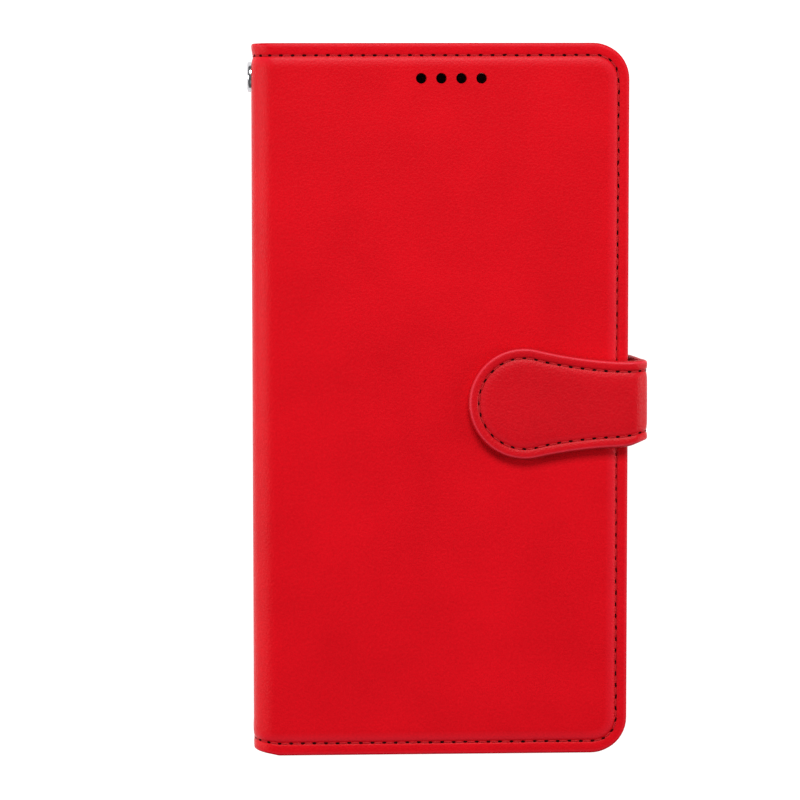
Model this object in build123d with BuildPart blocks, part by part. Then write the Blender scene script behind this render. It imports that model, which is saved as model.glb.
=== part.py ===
from build123d import *

# Folding phone wallet case, closed and lying on its back cover.
# Millimetres. +Z is the way the front cover faces, +X runs from the spine to the opening edge and +Y
# towards the top of the phone. The origin is at the bottom centre of the whole object's box.

import os
from math import acos, atan2, cos, degrees, hypot, radians, sin

# --- phone and the moulded shell that holds it ------------------------------------------------------
phone_width = 76.0
phone_length = 164.0
phone_depth = 9.0
phone_corner = 10.0
shell_wall = 1.5
shell_floor = 1.2
shell_lip = 0.8  # reach and thickness of the rim over the phone's glass
shell_round = 0.6
adhesive = 0.2

# --- covers -----------------------------------------------------------------------------------------
end_margin = 1.5  # shell to the covers' top and bottom edges
side_margin = 2.4  # shell to the opening edge
spine_margin = 7.9  # shell to the outside of the spine
corner_radius = 8.6  # opening-edge corners of both covers
skin = 0.9  # outer leather
board = 0.8  # stiffener
lining = 0.7  # inner leather
board_inset = 4.2  # leather edge to stiffener
board_clearance = 0.2
lining_inset = 0.3
edge_round = 0.4
spine_flat = 6.7  # flat part of the spine between its two bends

# --- seams ------------------------------------------------------------------------------------------
seam_inset = 2.6
groove_width = 0.6
groove_depth = 0.3
thread_width = 0.5

# --- openings for the phone -------------------------------------------------------------------------
camera_width = 27.0
camera_length = 38.0
camera_corner = 6.0
camera_side_margin = 5.0  # phone side to the window
camera_top_margin = 6.0  # phone top to the window
camera_ring = 1.2  # wall of the moulded ring round the window
camera_ring_recess = 0.3  # back cover's face to the ring
camera_clearance = 0.3
earpiece_radius = 1.28
earpiece_pitch = 4.78
earpiece_count = 4
earpiece_drop = 8.4  # top edge to the row of holes
port_width = 12.0
port_depth = 5.4
slot_rounding = 0.46  # corner radius of a slot or button, as a share of its width
speaker_radius = 0.9
speaker_pitch = 3.2
speaker_count = 5
speaker_offset = 20.0
microphone_radius = 0.8
button_depth = 5.0
button_stand = 0.7
power_length = 12.0
power_drop = 55.0  # top of the phone to the button's middle
volume_length = 24.0
volume_drop = 31.0

# --- pockets inside the front cover -----------------------------------------------------------------
pocket_sheet = 0.6
pocket_clearance = 0.3  # pockets to the shell's rim
cash_mouth = 14.0  # outside of the spine to the cash pocket's mouth
cash_inset = 0.9
card_pockets = 3
card_mouth = 18.0
card_step = 10.0
card_side_margin = 5.3
card_low = -43.0
card_length = 92.0
card_corner = 2.0
card_seam_inset = 1.6

# --- clasp strap ------------------------------------------------------------------------------------
strap_y = -1.0
strap_skin = 0.8
strap_lining = 0.7
strap_core = 1.2
strap_neck = 20.6
strap_gap = 0.4  # front cover to the strap
strap_bulge = 4.9  # how far the strap stands out past the opening edge
strap_bend_radius = 4.0  # the strap stands clear of the cover before it turns down
root_radius = 2.6
root_run = 0.4  # straight stretch outside the cover's edge
tab_radius = 13.4
tab_reach = 37.4  # opening edge to the tab's tip
neck_run = 0.4  # straight sides between the tab's sweep and the fold
core_inset = 3.8
strap_seam_inset = 2.3
tongue_length = 5.0
tongue_step = 0.8  # the tongue is narrower than the neck by this much on each side
tongue_clearance = 0.1
magnet_radius = 6.0
plate_radius = 7.0
clasp_clearance = 0.15

# --- eyelet for a wrist loop ------------------------------------------------------------------------
eyelet_drop = 7.8  # top edge to the eyelet's middle
eyelet_bore = 2.0
eyelet_wall = 0.35
eyelet_flange = 3.7
eyelet_dome = 1.0
eyelet_curl = 0.3
eyelet_clearance = 0.05
washer_thickness = 0.4

# --- worked out -------------------------------------------------------------------------------------
rim = skin + board  # the leather is turned back on itself round the edge
cover = rim + lining
shell_low = cover + adhesive
shell_high = shell_low + shell_floor + phone_depth + shell_lip
lining_low = shell_high + pocket_clearance + (card_pockets + 1) * pocket_sheet
case_depth = lining_low + cover
bend_radius = (case_depth - spine_flat) / 2  # outside radius where each cover turns into the spine
case_length = phone_length + 2 * (shell_wall + end_margin)
case_width = spine_margin + phone_width + 2 * shell_wall + side_margin
spine_x = (eyelet_dome - case_width - strap_bulge) / 2
edge_x = spine_x + case_width
bend_x = spine_x + bend_radius
half_length = case_length / 2
shell_right = edge_x - side_margin
phone_x = shell_right - shell_wall - phone_width / 2
camera_x = phone_x + phone_width / 2 - camera_side_margin - camera_width / 2
camera_y = phone_length / 2 - camera_top_margin - camera_length / 2
earpiece_y = half_length - earpiece_drop
eyelet_y = half_length - eyelet_drop
power_y = phone_length / 2 - power_drop
volume_y = phone_length / 2 - volume_drop
washer_radius = spine_flat / 2 - eyelet_clearance
tongue_width = strap_neck - 2 * tongue_step
socket_z = shell_low + shell_floor + phone_depth / 2
strap_low = case_depth + strap_gap
strap_high = strap_low + strap_lining + strap_core + strap_skin
tab_x = edge_x - tab_reach + tab_radius
card_right = edge_x - card_side_margin

# centres of the four bends, as x and z
back_bend = (bend_x, bend_radius)
front_bend = (bend_x, case_depth - bend_radius)
root_bend = (edge_x + root_run, skin + root_radius)
strap_bend = (edge_x + strap_bulge - strap_bend_radius, strap_high - strap_bend_radius)
tab_sweep = strap_bend[0] - neck_run - tab_x  # tab's middle to where its sides run straight

# the strap's side is the straight line that touches both of its bends, so it leans outwards a little
strap_run = strap_bend[0] - root_bend[0]
strap_rise = strap_bend[1] - root_bend[1]
strap_lean = degrees(acos((root_radius - strap_bend_radius) / hypot(strap_run, strap_rise))
                     - atan2(strap_rise, strap_run))
lean_x = cos(radians(strap_lean))
lean_z = -sin(radians(strap_lean))


def save(piece, name):
    # labels a finished piece and writes its STEP file
    piece.part.label = name
    export_step(piece.part, f"parts/{name}.step")


def page(left, inset):
    # a cover's outline from x = left to the opening edge, drawn in by inset
    with BuildSketch() as outline:
        with Locations((left, 0)):
            Rectangle(edge_x - inset - left, case_length - 2 * inset, align=(Align.MIN, Align.CENTER))
        fillet(outline.vertices().group_by(Axis.X)[-1], corner_radius - inset)
    return outline.sketch


def seam(width):
    # the perimeter seam's band on a cover, which has no seam along the spine
    outside = page(bend_x, seam_inset - width / 2)
    inside = page(bend_x, seam_inset + width / 2)
    with BuildSketch() as band:
        add(outside)
        add(inside, mode=Mode.SUBTRACT)
    return band.sketch


def earpiece(radius):
    # the row of holes over the phone's earpiece
    with BuildSketch() as holes:
        with Locations((phone_x, earpiece_y)):
            with GridLocations(earpiece_pitch, 0, earpiece_count, 1):
                Circle(radius)
    return holes.sketch


def camera(grow):
    # the camera window, grown all round
    with BuildSketch() as window:
        with Locations((camera_x, camera_y)):
            RectangleRounded(camera_width + 2 * grow, camera_length + 2 * grow, camera_corner + grow)
    return window.sketch


def tongue(grow):
    # the strap's sewn-in end, grown all round but cut flush with the edge
    with BuildSketch() as end:
        with Locations((edge_x, strap_y)):
            Rectangle(tongue_length + grow, tongue_width + 2 * grow, align=(Align.MAX, Align.CENTER))
    return end.sketch


def tab(inset, end_inset=0.0):
    # the strap's front seen from above: a straight neck that sweeps out into a round tab
    half_neck = strap_neck / 2 - inset
    round_end = tab_radius - inset
    flare = (tab_sweep ** 2 + half_neck ** 2 - round_end ** 2) / (2 * (round_end - half_neck))
    sweep_y = half_neck + flare
    sweep_x = tab_x + tab_sweep
    meets = degrees(atan2(sweep_y, sweep_x - tab_x))
    with BuildSketch() as outline:
        with BuildLine():
            Line((strap_bend[0], strap_y + half_neck), (sweep_x, strap_y + half_neck))
            CenterArc((sweep_x, strap_y + sweep_y), flare, 270, meets - 90)
            CenterArc((tab_x, strap_y), round_end, meets, 360 - 2 * meets)
            CenterArc((sweep_x, strap_y - sweep_y), flare, 180 - meets, meets - 90)
            Line((sweep_x, strap_y - half_neck), (strap_bend[0], strap_y - half_neck))
            Line((strap_bend[0], strap_y - half_neck), (strap_bend[0], strap_y + half_neck))
        make_face()
        if end_inset:
            with Locations((strap_bend[0], strap_y)):
                Rectangle(2 * end_inset, 2 * tab_radius, mode=Mode.SUBTRACT)
    return outline.sketch


def bend(centre, outer, thickness, start, size):
    # section of a bent layer, as part of a ring
    inner = outer - thickness
    first = (cos(radians(start)), sin(radians(start)))
    last = (cos(radians(start + size)), sin(radians(start + size)))
    with BuildSketch() as section:
        with BuildLine():
            CenterArc(centre, outer, start, size)
            CenterArc(centre, inner, start, size)
            for side in (first, last):
                Line((centre[0] + inner * side[0], centre[1] + inner * side[1]),
                     (centre[0] + outer * side[0], centre[1] + outer * side[1]))
        make_face()
    return section.sketch


def side_layer(depth, thickness):
    # section of one layer of the strap's side, depth below its outer face
    with BuildSketch() as section:
        with BuildLine():
            corners = []
            for (x, z), radius in ((root_bend, root_radius), (strap_bend, strap_bend_radius)):
                for below in (depth, depth + thickness):
                    corners.append((x + lean_x * (radius - below), z + lean_z * (radius - below)))
            Polyline(corners[0], corners[1], corners[3], corners[2], close=True)
        make_face()
    return section.sketch


def back_cover():
    # outer leather, stiffener, lining and seam of the back cover, with the camera window
    window = camera(camera_ring + camera_clearance)
    outline = page(bend_x, 0)
    board_pocket = page(bend_x + board_inset / 2, board_inset)
    with BuildPart() as back_skin:
        with BuildSketch():
            add(outline)
            add(window, mode=Mode.SUBTRACT)
        extrude(amount=rim)
        outside = back_skin.faces().sort_by(Axis.Z)[0].outer_wire().edges().sort_by(Axis.X)[1:]
        fillet(outside, edge_round)
        with BuildSketch(Plane.XY.offset(skin)):
            add(board_pocket)
            add(camera(camera_ring + camera_clearance + board_inset / 2), mode=Mode.SUBTRACT)
            add(tongue(tongue_clearance))
        extrude(amount=board, mode=Mode.SUBTRACT)
        with BuildSketch():
            add(seam(groove_width))
        extrude(amount=groove_depth, mode=Mode.SUBTRACT)
    save(back_skin, "back_skin")

    with BuildPart() as back_board:
        with BuildSketch(Plane.XY.offset(skin)):
            add(page(bend_x + board_inset / 2 + board_clearance, board_inset + board_clearance))
            add(camera(camera_ring + camera_clearance + board_inset / 2 + board_clearance),
                mode=Mode.SUBTRACT)
            add(tongue(tongue_clearance + board_clearance), mode=Mode.SUBTRACT)
        extrude(amount=board)
    save(back_board, "back_board")

    with BuildPart() as back_lining:
        with BuildSketch(Plane.XY.offset(rim)):
            add(page(bend_x, lining_inset))
            add(window, mode=Mode.SUBTRACT)
        extrude(amount=lining)
    save(back_lining, "back_lining")

    with BuildPart() as back_thread:
        with BuildSketch():
            add(seam(thread_width))
        extrude(amount=groove_depth)
    save(back_thread, "back_seam_thread")


def creases():
    # the leather and lining between each cover and the spine, which fold as the case opens
    for name, centre, start in (("back", back_bend, 180), ("front", front_bend, 90)):
        skin_section = bend(centre, bend_radius, skin, start, 90)
        lining_section = bend(centre, bend_radius - rim, lining, start, 90)
        with BuildPart() as crease_skin:
            with BuildSketch(Plane.XZ):
                add(skin_section)
            extrude(amount=half_length, both=True)
        save(crease_skin, f"{name}_crease_skin")
        with BuildPart() as crease_lining:
            with BuildSketch(Plane.XZ):
                add(lining_section)
            extrude(amount=half_length - lining_inset, both=True)
        save(crease_lining, f"{name}_crease_lining")


def spine():
    # leather, stiffener, lining and seam ends of the spine, with the hole for the eyelet
    hole = eyelet_bore + eyelet_wall + eyelet_clearance
    with BuildPart() as spine_skin:
        with BuildSketch(Plane.YZ.offset(spine_x)):
            with Locations((0, case_depth / 2)):
                Rectangle(case_length, spine_flat)
            with Locations((eyelet_y, case_depth / 2)):
                Circle(hole, mode=Mode.SUBTRACT)
        extrude(amount=skin)
        with BuildSketch(Plane.YZ.offset(spine_x)):
            with Locations((0, case_depth / 2)):
                with GridLocations(case_length - 2 * seam_inset, 0, 2, 1):
                    Rectangle(groove_width, spine_flat)
        extrude(amount=groove_depth, mode=Mode.SUBTRACT)
    save(spine_skin, "spine_skin")

    with BuildPart() as spine_thread:
        with BuildSketch(Plane.YZ.offset(spine_x)):
            with Locations((0, case_depth / 2)):
                with GridLocations(case_length - 2 * seam_inset, 0, 2, 1):
                    Rectangle(thread_width, spine_flat)
        extrude(amount=groove_depth)
    save(spine_thread, "spine_seam_thread")

    board_top = eyelet_y - eyelet_flange - board_inset / 2
    board_bottom = board_inset - half_length
    with BuildPart() as spine_board:
        with BuildSketch(Plane.YZ.offset(spine_x + skin)):
            with Locations(((board_top + board_bottom) / 2, case_depth / 2)):
                RectangleRounded(board_top - board_bottom, spine_flat - 2 * board_clearance, spine_flat / 4)
        extrude(amount=board)
    save(spine_board, "spine_board")

    with BuildPart() as spine_lining:
        with BuildSketch(Plane.YZ.offset(spine_x + rim)):
            with Locations((0, case_depth / 2)):
                Rectangle(case_length - 2 * lining_inset, spine_flat)
            with Locations((eyelet_y, case_depth / 2)):
                Circle(hole, mode=Mode.SUBTRACT)
        extrude(amount=lining)
    save(spine_lining, "spine_lining")


def eyelet():
    # a domed flange outside, a barrel through the spine, and a washer that the barrel is curled over
    barrel = eyelet_bore + eyelet_wall
    end = cover + washer_thickness
    lengthwise = Plane(origin=(spine_x, eyelet_y, case_depth / 2), x_dir=(1, 0, 0), z_dir=(0, -1, 0))
    middle = Axis((spine_x, eyelet_y, case_depth / 2), (1, 0, 0))
    with BuildPart() as ring:
        with BuildSketch(lengthwise):
            with BuildLine():
                Polyline((0, eyelet_flange), (0, barrel), (end, barrel), (end, barrel + eyelet_curl),
                         (end + eyelet_curl, barrel), (end + eyelet_curl, eyelet_bore),
                         (-eyelet_dome / 2, eyelet_bore))
                ThreePointArc((-eyelet_dome / 2, eyelet_bore),
                              (-eyelet_dome, (eyelet_bore + eyelet_flange) / 2), (0, eyelet_flange))
            make_face()
        revolve(axis=middle)
    save(ring, "eyelet")

    with BuildPart() as washer:
        with BuildSketch(Plane.YZ.offset(spine_x + cover)):
            with Locations((eyelet_y, case_depth / 2)):
                Circle(washer_radius)
                Circle(barrel + eyelet_clearance, mode=Mode.SUBTRACT)
        extrude(amount=washer_thickness)
    save(washer, "eyelet_washer")


def front_cover():
    # outer leather, stiffener, clasp plate, lining and seam of the front cover
    holes = earpiece(earpiece_radius)
    outline = page(bend_x, 0)
    with BuildPart() as front_skin:
        with BuildSketch(Plane.XY.offset(case_depth - rim)):
            add(outline)
        extrude(amount=rim)
        outside = front_skin.faces().sort_by(Axis.Z)[-1].outer_wire().edges().sort_by(Axis.X)[1:]
        fillet(outside, edge_round)
        with BuildSketch(Plane.XY.offset(case_depth - rim)):
            add(page(bend_x + board_inset / 2, board_inset))
        extrude(amount=board, mode=Mode.SUBTRACT)
        with BuildSketch(Plane.XY.offset(case_depth - groove_depth)):
            add(seam(groove_width))
        extrude(amount=groove_depth, mode=Mode.SUBTRACT)
        with BuildSketch(Plane.XY.offset(case_depth - rim)):
            add(holes)
        extrude(amount=rim, mode=Mode.SUBTRACT)
    save(front_skin, "front_skin")

    with BuildPart() as front_board:
        with BuildSketch(Plane.XY.offset(case_depth - rim)):
            add(page(bend_x + board_inset / 2 + board_clearance, board_inset + board_clearance))
            add(earpiece(earpiece_radius + board_clearance), mode=Mode.SUBTRACT)
            with Locations((tab_x, strap_y)):
                Circle(plate_radius + clasp_clearance, mode=Mode.SUBTRACT)
        extrude(amount=board)
    save(front_board, "front_board")

    with BuildPart() as clasp_plate:
        with BuildSketch(Plane.XY.offset(case_depth - rim)):
            with Locations((tab_x, strap_y)):
                Circle(plate_radius)
        extrude(amount=board)
    save(clasp_plate, "clasp_plate")

    with BuildPart() as front_lining:
        with BuildSketch(Plane.XY.offset(lining_low)):
            add(page(bend_x, lining_inset))
            add(holes, mode=Mode.SUBTRACT)
        extrude(amount=lining)
    save(front_lining, "front_lining")

    with BuildPart() as front_thread:
        with BuildSketch(Plane.XY.offset(case_depth - groove_depth)):
            add(seam(thread_width))
        extrude(amount=groove_depth)
    save(front_thread, "front_seam_thread")


def card_seam(left, width):
    # the seam round a card pocket's three closed sides
    outside = card_seam_inset - width / 2
    inside = card_seam_inset + width / 2
    with BuildSketch() as band:
        with Locations((left, card_low + card_length / 2)):
            Rectangle(card_right - outside - left, card_length - 2 * outside,
                      align=(Align.MIN, Align.CENTER))
            Rectangle(card_right - inside - left, card_length - 2 * inside,
                      align=(Align.MIN, Align.CENTER), mode=Mode.SUBTRACT)
    return band.sketch


def pockets():
    # a cash pocket over the lining, stepped card pockets on it and the seam through them
    with BuildPart() as cash_pocket:
        with BuildSketch(Plane.XY.offset(lining_low - pocket_sheet)):
            add(page(spine_x + cash_mouth, cash_inset))
            add(earpiece(earpiece_radius), mode=Mode.SUBTRACT)
        extrude(amount=pocket_sheet)
    save(cash_pocket, "cash_pocket")

    for number in range(card_pockets):
        left = spine_x + card_mouth + number * card_step
        low = lining_low - (number + 2) * pocket_sheet
        with BuildPart() as card_pocket:
            with BuildSketch(Plane.XY.offset(low)) as sheet:
                with Locations((left, card_low)):
                    Rectangle(card_right - left, card_length, align=(Align.MIN, Align.MIN))
                fillet(sheet.vertices().group_by(Axis.X)[-1], card_corner)
            extrude(amount=pocket_sheet)
            if number == card_pockets - 1:
                with BuildSketch(Plane.XY.offset(low)):
                    add(card_seam(left, groove_width))
                extrude(amount=groove_depth, mode=Mode.SUBTRACT)
        save(card_pocket, f"card_pocket_{number + 1}")

    with BuildPart() as pocket_thread:
        with BuildSketch(Plane.XY.offset(low)):
            add(card_seam(left, thread_width))
        extrude(amount=groove_depth)
    save(pocket_thread, "pocket_seam_thread")


def phone_shell():
    # the moulded shell that grips the phone, with its openings, button covers and camera ring
    with BuildPart() as shell:
        with BuildSketch(Plane.XY.offset(shell_low)):
            with Locations((phone_x, 0)):
                RectangleRounded(phone_width + 2 * shell_wall, phone_length + 2 * shell_wall,
                                 phone_corner + shell_wall)
        extrude(amount=shell_high - shell_low)
        ends = shell.faces().sort_by(Axis.Z)
        fillet(ends[0].edges() + ends[-1].edges(), shell_round)
        with BuildSketch(Plane.YZ.offset(shell_right)):
            for y, length in ((power_y, power_length), (volume_y, volume_length)):
                with Locations((y, socket_z)):
                    RectangleRounded(length, button_depth, slot_rounding * button_depth)
        extrude(amount=button_stand)
        with BuildSketch(Plane.XY.offset(camera_ring_recess)):
            add(camera(camera_ring))
        extrude(amount=shell_low + shell_floor - camera_ring_recess)
        with BuildSketch(Plane.XY.offset(shell_low + shell_floor)):
            with Locations((phone_x, 0)):
                RectangleRounded(phone_width, phone_length, phone_corner)
        extrude(amount=phone_depth, mode=Mode.SUBTRACT)
        with BuildSketch(Plane.XY.offset(shell_low + shell_floor)):
            with Locations((phone_x, 0)):
                RectangleRounded(phone_width - 2 * shell_lip, phone_length - 2 * shell_lip,
                                 phone_corner - shell_lip)
        extrude(amount=phone_depth + 2 * shell_lip, mode=Mode.SUBTRACT)
        with BuildSketch():
            add(camera(0))
        extrude(amount=shell_low + 2 * shell_floor, mode=Mode.SUBTRACT)
        with BuildSketch(Plane.XZ.offset(phone_length / 2 - shell_wall)):
            with Locations((phone_x, socket_z)):
                RectangleRounded(port_width, port_depth, slot_rounding * port_depth)
            with Locations((phone_x + speaker_offset, socket_z)):
                with GridLocations(speaker_pitch, 0, speaker_count, 1):
                    Circle(speaker_radius)
        extrude(amount=3 * shell_wall, mode=Mode.SUBTRACT)
        with BuildSketch(Plane.XZ.offset(-phone_length / 2 - 2 * shell_wall)):
            with Locations((phone_x + speaker_offset, socket_z)):
                Circle(microphone_radius)
        extrude(amount=3 * shell_wall, mode=Mode.SUBTRACT)
    save(shell, "phone_shell")

    with BuildPart() as film:
        with BuildSketch(Plane.XY.offset(cover)):
            with Locations((phone_x, 0)):
                RectangleRounded(phone_width - 2 * shell_wall, phone_length - 2 * shell_wall, phone_corner)
            add(camera(camera_ring + camera_clearance + board_clearance), mode=Mode.SUBTRACT)
        extrude(amount=adhesive)
    save(film, "shell_adhesive")


def strap():
    # the clasp strap: sewn-in tongue, root fold, side, front fold and round tab, each in two layers
    root_turn = 90 - strap_lean
    front_turn = 90 + strap_lean
    half_neck = strap_neck / 2
    # Plane.XZ faces -Y, so its offset is the negative of y
    across = Plane.XZ.offset(-strap_y)

    with BuildPart() as strap_tongue:
        with BuildSketch(Plane.XY.offset(skin)):
            add(tongue(0))
        extrude(amount=board)
    save(strap_tongue, "strap_tongue")

    root_outside = bend(root_bend, root_radius, strap_skin, -90, root_turn)
    root_inside = bend(root_bend, root_radius - strap_skin, strap_lining, -90, root_turn)
    front_outside = bend(strap_bend, strap_bend_radius, strap_skin, -strap_lean, front_turn)
    front_inside = bend(strap_bend, strap_bend_radius - strap_skin, strap_lining, -strap_lean, front_turn)
    with BuildPart() as root_skin:
        with BuildSketch(across):
            add(root_outside)
            with Locations((edge_x, skin)):
                Rectangle(root_run, strap_skin, align=(Align.MIN, Align.MIN))
        extrude(amount=half_neck, both=True)
    save(root_skin, "strap_root_skin")
    with BuildPart() as side_skin:
        with BuildSketch(across):
            add(side_layer(0, strap_skin))
        extrude(amount=half_neck, both=True)
        for side in (-1, 1):
            with BuildSketch(across.offset(side * (half_neck - strap_seam_inset))):
                add(side_layer(0, groove_depth))
            extrude(amount=groove_width / 2, both=True, mode=Mode.SUBTRACT)
    save(side_skin, "strap_side_skin")

    layers = {
        "strap_root_lining": root_inside,
        "strap_side_lining": side_layer(strap_skin, strap_lining),
        "strap_fold_skin": front_outside,
        "strap_fold_lining": front_inside,
    }
    for name, section in layers.items():
        with BuildPart() as layer:
            with BuildSketch(across):
                add(section)
            extrude(amount=half_neck, both=True)
        save(layer, name)

    with BuildPart() as side_thread:
        for side in (-1, 1):
            with BuildSketch(across.offset(side * (half_neck - strap_seam_inset))):
                add(side_layer(0, groove_depth))
            extrude(amount=thread_width / 2, both=True)
    save(side_thread, "strap_side_thread")

    with BuildPart() as tab_lining:
        with BuildSketch(Plane.XY.offset(strap_low)):
            add(tab(0))
        extrude(amount=strap_lining)
    save(tab_lining, "strap_tab_lining")

    with BuildPart() as tab_skin:
        with BuildSketch(Plane.XY.offset(strap_low + strap_lining)):
            add(tab(0))
        extrude(amount=strap_core + strap_skin)
        with BuildSketch(Plane.XY.offset(strap_low + strap_lining)):
            add(tab(core_inset, core_inset))
        extrude(amount=strap_core, mode=Mode.SUBTRACT)
        with BuildSketch(Plane.XY.offset(strap_high - groove_depth)):
            add(tab(strap_seam_inset - groove_width / 2))
            add(tab(strap_seam_inset + groove_width / 2), mode=Mode.SUBTRACT)
        extrude(amount=groove_depth, mode=Mode.SUBTRACT)
    save(tab_skin, "strap_tab_skin")

    with BuildPart() as core:
        with BuildSketch(Plane.XY.offset(strap_low + strap_lining)):
            add(tab(core_inset + board_clearance, core_inset + board_clearance))
            with Locations((tab_x, strap_y)):
                Circle(magnet_radius + clasp_clearance, mode=Mode.SUBTRACT)
        extrude(amount=strap_core)
    save(core, "strap_core")

    with BuildPart() as magnet:
        with BuildSketch(Plane.XY.offset(strap_low + strap_lining)):
            with Locations((tab_x, strap_y)):
                Circle(magnet_radius)
        extrude(amount=strap_core)
    save(magnet, "strap_magnet")

    with BuildPart() as tab_thread:
        with BuildSketch(Plane.XY.offset(strap_high - groove_depth)):
            add(tab(strap_seam_inset - thread_width / 2))
            add(tab(strap_seam_inset + thread_width / 2), mode=Mode.SUBTRACT)
        extrude(amount=groove_depth)
    save(tab_thread, "strap_tab_thread")


os.makedirs("parts", exist_ok=True)
back_cover()
creases()
spine()
eyelet()
front_cover()
pockets()
phone_shell()
strap()
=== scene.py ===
import math
import random
import bmesh
import bpy
from mathutils import Matrix, Vector


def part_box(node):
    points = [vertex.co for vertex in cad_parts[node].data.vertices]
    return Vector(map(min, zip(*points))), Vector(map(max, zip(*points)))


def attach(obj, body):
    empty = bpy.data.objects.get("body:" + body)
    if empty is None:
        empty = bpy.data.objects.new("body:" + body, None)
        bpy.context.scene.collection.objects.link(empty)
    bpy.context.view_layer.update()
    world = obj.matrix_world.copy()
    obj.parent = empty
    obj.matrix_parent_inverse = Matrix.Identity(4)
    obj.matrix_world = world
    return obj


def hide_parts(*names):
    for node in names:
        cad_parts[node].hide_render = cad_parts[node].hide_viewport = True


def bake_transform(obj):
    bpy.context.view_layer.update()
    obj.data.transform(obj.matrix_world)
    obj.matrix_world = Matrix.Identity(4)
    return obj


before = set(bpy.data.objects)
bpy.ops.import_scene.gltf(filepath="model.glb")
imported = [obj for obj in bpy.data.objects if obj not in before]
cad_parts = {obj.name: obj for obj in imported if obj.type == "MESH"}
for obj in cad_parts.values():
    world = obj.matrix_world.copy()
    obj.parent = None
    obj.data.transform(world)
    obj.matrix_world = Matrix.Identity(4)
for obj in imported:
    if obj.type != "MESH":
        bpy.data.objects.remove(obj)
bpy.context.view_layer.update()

mm = 0.001
random.seed(11)
print("frame loaded")

# the case's own measures, read from the frame
frontLow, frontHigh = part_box("front_skin")
spineLow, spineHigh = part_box("spine_skin")
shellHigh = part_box("phone_shell")[1]
liningLow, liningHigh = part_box("front_lining")
bendX = frontLow.x
edgeX = frontHigh.x
topZ = frontHigh.z
endY = frontHigh.y
spineX = spineLow.x
midZ = topZ / 2
flatHalf = (spineHigh.z - spineLow.z) / 2
bendR = bendX - spineX
arcLength = math.pi / 2 * bendR
reach = flatHalf + arcLength + edgeX - bendX  # mid-spine to the opening edge, along the outer skin


def coverPoint(u, v, h):
    # u runs along the outer skin from mid-spine, + to the front cover; h is height above the skin
    s = abs(u)
    if s <= flatHalf:
        x, z = spineX - h, midZ + s
    elif s <= flatHalf + arcLength:
        a = (s - flatHalf) / bendR
        x = bendX - (bendR + h) * math.cos(a)
        z = midZ + flatHalf + (bendR + h) * math.sin(a)
    else:
        x, z = bendX + s - flatHalf - arcLength, topZ + h
    return Vector((x, v, z if u >= 0 else 2 * midZ - z))


# ---------- mesh helpers

def newPiece(name, bm, material, smoothAngle=40):
    bmesh.ops.recalc_face_normals(bm, faces=bm.faces[:])
    for face in bm.faces:
        face.smooth = True
    for edge in bm.edges:
        if len(edge.link_faces) == 2 and edge.calc_face_angle(0) > math.radians(smoothAngle):
            edge.smooth = False
    mesh = bpy.data.meshes.new(name)
    bm.to_mesh(mesh)
    bm.free()
    piece = bpy.data.objects.new(name, mesh)
    bpy.context.scene.collection.objects.link(piece)
    mesh.materials.append(material)
    return piece


def roundedFace(bm, low, high, z, radii, segments=10):
    # a rectangle with its own radius at each corner: low-low, high-low, high-high, low-high
    corners = [(low[0], low[1]), (high[0], low[1]), (high[0], high[1]), (low[0], high[1])]
    verts = [bm.verts.new((x, y, z)) for x, y in corners]
    bm.faces.new(verts)
    for vert, radius in zip(verts, radii):
        if radius > 0:
            bmesh.ops.bevel(bm, geom=[vert], offset=radius, offset_type="OFFSET", affect="VERTICES",
                            segments=segments, profile=0.5, material=-1)
    bm.faces.ensure_lookup_table()
    return bm.faces[-1]


def insetRings(bm, face, rings, startHeight, upward=True):
    # rings are (distance in, height, painted light) from the outline inwards; a painted light value above 0
    # is a painted highlight, lighter, and below 0 painted shade, darker
    distance, height = 0.0, startHeight
    layer = bm.verts.layers.float.get("paintedLight") or bm.verts.layers.float.new("paintedLight")
    for nextDistance, nextHeight, *paintedLight in rings:
        rise = (nextHeight - height) * (1 if upward else -1)
        bmesh.ops.inset_region(bm, faces=[face], thickness=(nextDistance - distance) * mm,
                               depth=rise * mm, use_even_offset=True, use_boundary=True)
        for vert in face.verts:
            vert[layer] = paintedLight[0] if paintedLight else 0.0
        distance, height = nextDistance, nextHeight
    return face


def slab(outline, middle, upper, lower):
    # a closed sheet: two faces on one outline, each drawn in and raised ring by ring, then welded
    bm = bmesh.new()
    bm.verts.layers.float.new("paintedLight")
    top = outline(bm, middle * mm)
    if top.normal.z < 0:
        bmesh.ops.reverse_faces(bm, faces=[top])
    insetRings(bm, top, upper, middle)
    known = set(bm.faces)
    bottom = outline(bm, middle * mm)
    bottom = [f for f in bm.faces if f not in known][0]
    bottom.normal_update()
    if bottom.normal.z > 0:
        bmesh.ops.reverse_faces(bm, faces=[bottom])
        bottom.normal_update()
    insetRings(bm, bottom, lower, middle, upward=False)
    bmesh.ops.remove_doubles(bm, verts=bm.verts[:], dist=0.002 * mm)
    return bm


def cutAcross(bm, stops, normal=(1, 0, 0)):
    for stop in stops:
        bmesh.ops.bisect_plane(bm, geom=bm.verts[:] + bm.edges[:] + bm.faces[:], dist=1e-7,
                               plane_co=Vector(normal) * stop, plane_no=normal)


def keepSide(bm, at, positive):
    # keeps one side of x = at and closes the cut
    sign = 1 if positive else -1
    bmesh.ops.bisect_plane(bm, geom=bm.verts[:] + bm.edges[:] + bm.faces[:], dist=1e-7,
                           plane_co=(at, 0, 0), plane_no=(sign, 0, 0), clear_inner=True)
    bmesh.ops.holes_fill(bm, edges=[e for e in bm.edges if e.is_boundary], sides=0)
    return bm


def moveVerts(bm, place):
    for vert in bm.verts:
        vert.co = place(vert.co)


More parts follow.
